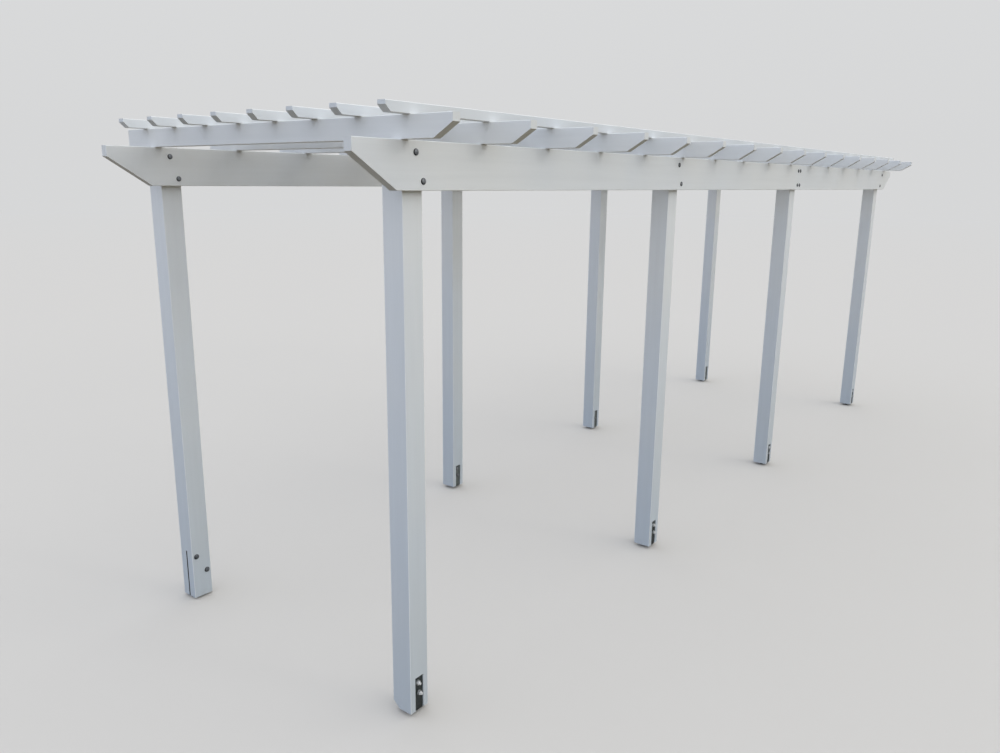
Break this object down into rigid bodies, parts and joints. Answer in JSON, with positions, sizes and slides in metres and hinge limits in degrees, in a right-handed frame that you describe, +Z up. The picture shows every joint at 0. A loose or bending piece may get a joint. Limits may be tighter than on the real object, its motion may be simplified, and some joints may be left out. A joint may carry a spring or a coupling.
{
  "type": "timber pergola",
  "caption": "Free-standing white timber pergola: rows of posts on galvanised stirrups carry two raked-end beams, rafters on edge across them and battens along the top.",
  "frame": {"origin": "on the ground, midway between the beams' tips and midway along the rafters", "axes": "+X along the beams from the near end in the picture to the far end, +Y from the outer row of posts to the row beside the house, +Z up"},
  "size_m": [7.669, 2.23, 2.667],
  "materials": {
    "white_painted_pine": "satin white exterior paint on primed pine",
    "galvanised_steel": "hot-dip galvanised, weathered dull grey"
  },
  "bodies": {
    "root": {"front_post_1": "white_painted_pine", "front_stirrup_1": "galvanised_steel", "front_post_2": "white_painted_pine", "front_stirrup_2": "galvanised_steel", "front_post_3": "white_painted_pine", "front_stirrup_3": "galvanised_steel", "front_post_4": "white_painted_pine", "front_stirrup_4": "galvanised_steel", "front_beam_near": "white_painted_pine", "front_beam_far": "white_painted_pine", "back_post_1": "white_painted_pine", "back_stirrup_1": "galvanised_steel", "back_post_2": "white_painted_pine", "back_stirrup_2": "galvanised_steel", "back_post_3": "white_painted_pine", "back_stirrup_3": "galvanised_steel", "back_post_4": "white_painted_pine", "back_stirrup_4": "galvanised_steel", "back_beam_near": "white_painted_pine", "back_beam_far": "white_painted_pine", "rafter_01": "white_painted_pine", "rafter_02": "white_painted_pine", "rafter_03": "white_painted_pine", "rafter_04": "white_painted_pine", "rafter_05": "white_painted_pine", "rafter_06": "white_painted_pine", "rafter_07": "white_painted_pine", "rafter_08": "white_painted_pine", "rafter_09": "white_painted_pine", "rafter_10": "white_painted_pine", "rafter_11": "white_painted_pine", "rafter_12": "white_painted_pine", "rafter_13": "white_painted_pine", "rafter_14": "white_painted_pine", "rafter_15": "white_painted_pine", "rafter_16": "white_painted_pine", "batten_1": "white_painted_pine", "batten_2": "white_painted_pine", "batten_3": "white_painted_pine", "batten_4": "white_painted_pine", "batten_5": "white_painted_pine", "batten_6": "white_painted_pine", "batten_7": "white_painted_pine", "batten_8": "white_painted_pine"}
  },
  "joints": []
}
